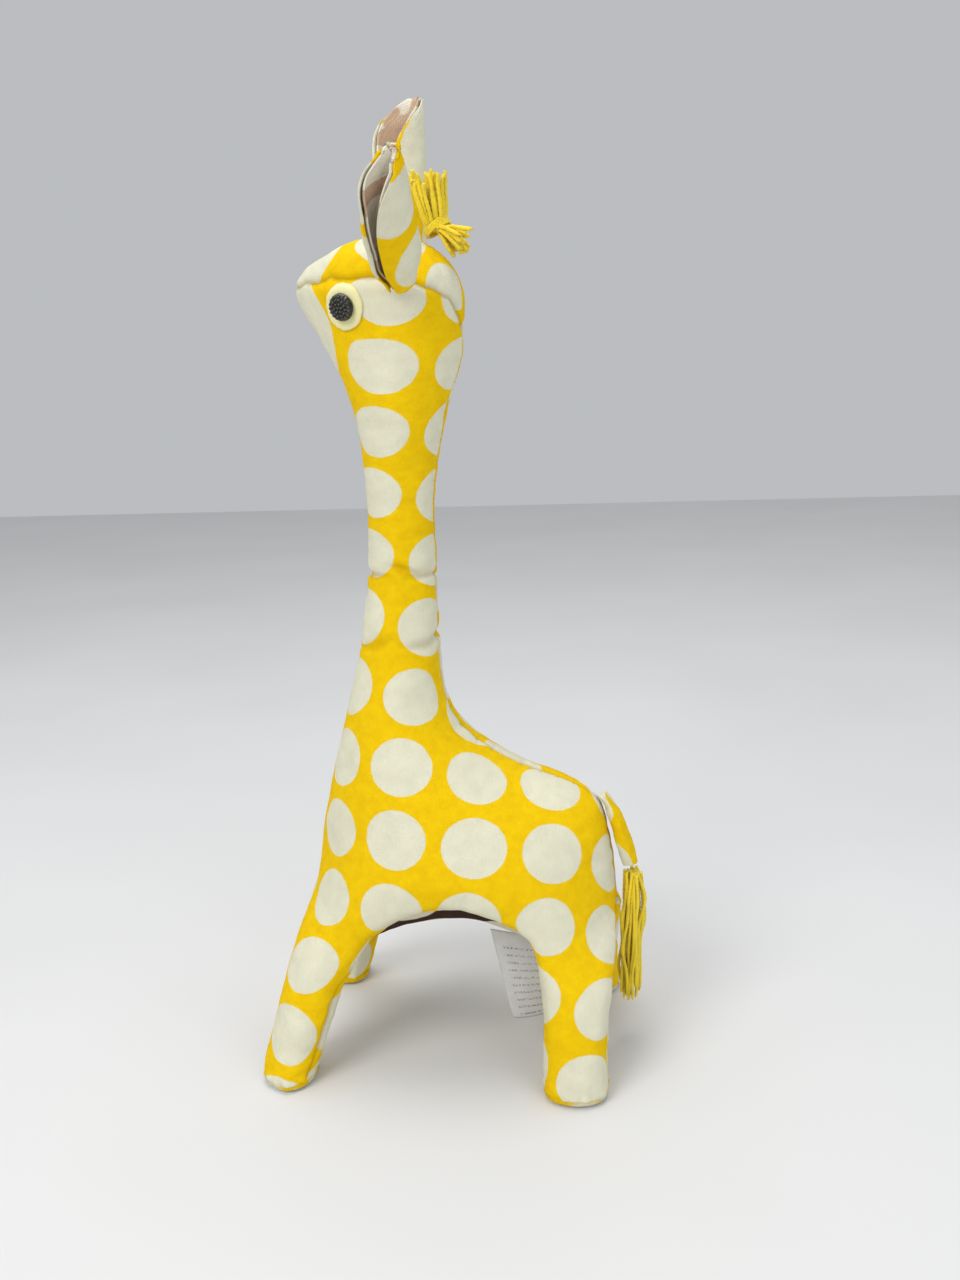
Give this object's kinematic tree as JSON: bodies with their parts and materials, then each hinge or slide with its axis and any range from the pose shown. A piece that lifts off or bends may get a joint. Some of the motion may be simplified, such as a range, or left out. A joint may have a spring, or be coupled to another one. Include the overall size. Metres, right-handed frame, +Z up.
{
  "type": "stuffed giraffe toy",
  "caption": "Standing stuffed cotton giraffe with a long neck, sewn button eyes, rolled ears, a yarn mane tuft and a hanging tail with a yarn tassel.",
  "frame": {"origin": "on the surface it stands on, under the middle of the toy's outer box", "axes": "+Z up, the toy faces -Y, +X to the toy's left"},
  "size_m": [0.099, 0.1208, 0.2997],
  "materials": {
    "yellow_dots": "plain-weave cotton, golden yellow printed with large white dots",
    "brown_dots": "plain-weave cotton, dark brown printed with large white dots",
    "tan_dots": "plain-weave cotton, pinkish tan printed with white dots",
    "stuffing": "loose fibre and offcut stuffing, not seen",
    "felt": "cream wool felt",
    "button": "black moulded button with a knobbly woven pattern, low gloss",
    "yarn": "bright yellow twisted yarn",
    "satin": "light grey woven satin, plain"
  },
  "bodies": {
    "body": {"side_panel_left": "yellow_dots", "side_panel_right": "yellow_dots", "head_gusset": "yellow_dots", "belly_gusset": "brown_dots", "inner_leg_front_left": "yellow_dots", "inner_leg_front_right": "yellow_dots", "inner_leg_rear_left": "yellow_dots", "inner_leg_rear_right": "yellow_dots", "sole_front_left": "yellow_dots", "sole_front_right": "yellow_dots", "sole_rear_left": "yellow_dots", "sole_rear_right": "yellow_dots", "stuffing": "stuffing", "eye_felt_left": "felt", "eye_felt_right": "felt", "eye_button_left": "button", "eye_button_right": "button", "mane_tuft": "yarn", "mane_binding": "yarn"},
    "left_ear": {"ear_outer_left": "yellow_dots", "ear_lining_left": "tan_dots"},
    "right_ear": {"ear_outer_right": "yellow_dots", "ear_lining_right": "tan_dots"},
    "tail": {"tail_strip": "yellow_dots"},
    "tassel": {"tail_tassel": "yarn"},
    "label": {"care_label": "satin"}
  },
  "joints": [
    {"name": "left_ear_bend", "type": "hinge", "parent": "body", "child": "left_ear", "pos_m": [0.01421, -0.00387, 0.241], "axis": [0, 1, 0], "range_deg": [-25, 25], "stiffness_Nm_per_rad": 0.02},
    {"name": "right_ear_bend", "type": "hinge", "parent": "body", "child": "right_ear", "pos_m": [-0.02759, -0.01237, 0.2454], "axis": [0, -1, 0], "range_deg": [-5, 45], "stiffness_Nm_per_rad": 0.02},
    {"name": "tail_lift", "type": "hinge", "parent": "body", "child": "tail", "pos_m": [-0.00679, 0.04753, 0.0852], "axis": [1, 0, 0], "range_deg": [0, 100]},
    {"name": "tassel_swing", "type": "hinge", "parent": "tail", "child": "tassel", "pos_m": [-0.00679, 0.05653, 0.06], "axis": [1, 0, 0], "range_deg": [0, 70]},
    {"name": "label_swing", "type": "hinge", "parent": "body", "child": "label", "pos_m": [0.00681, 0.01193, 0.0436], "axis": [0, 0.9908, -0.1356], "range_deg": [-5, 60]}
  ]
}
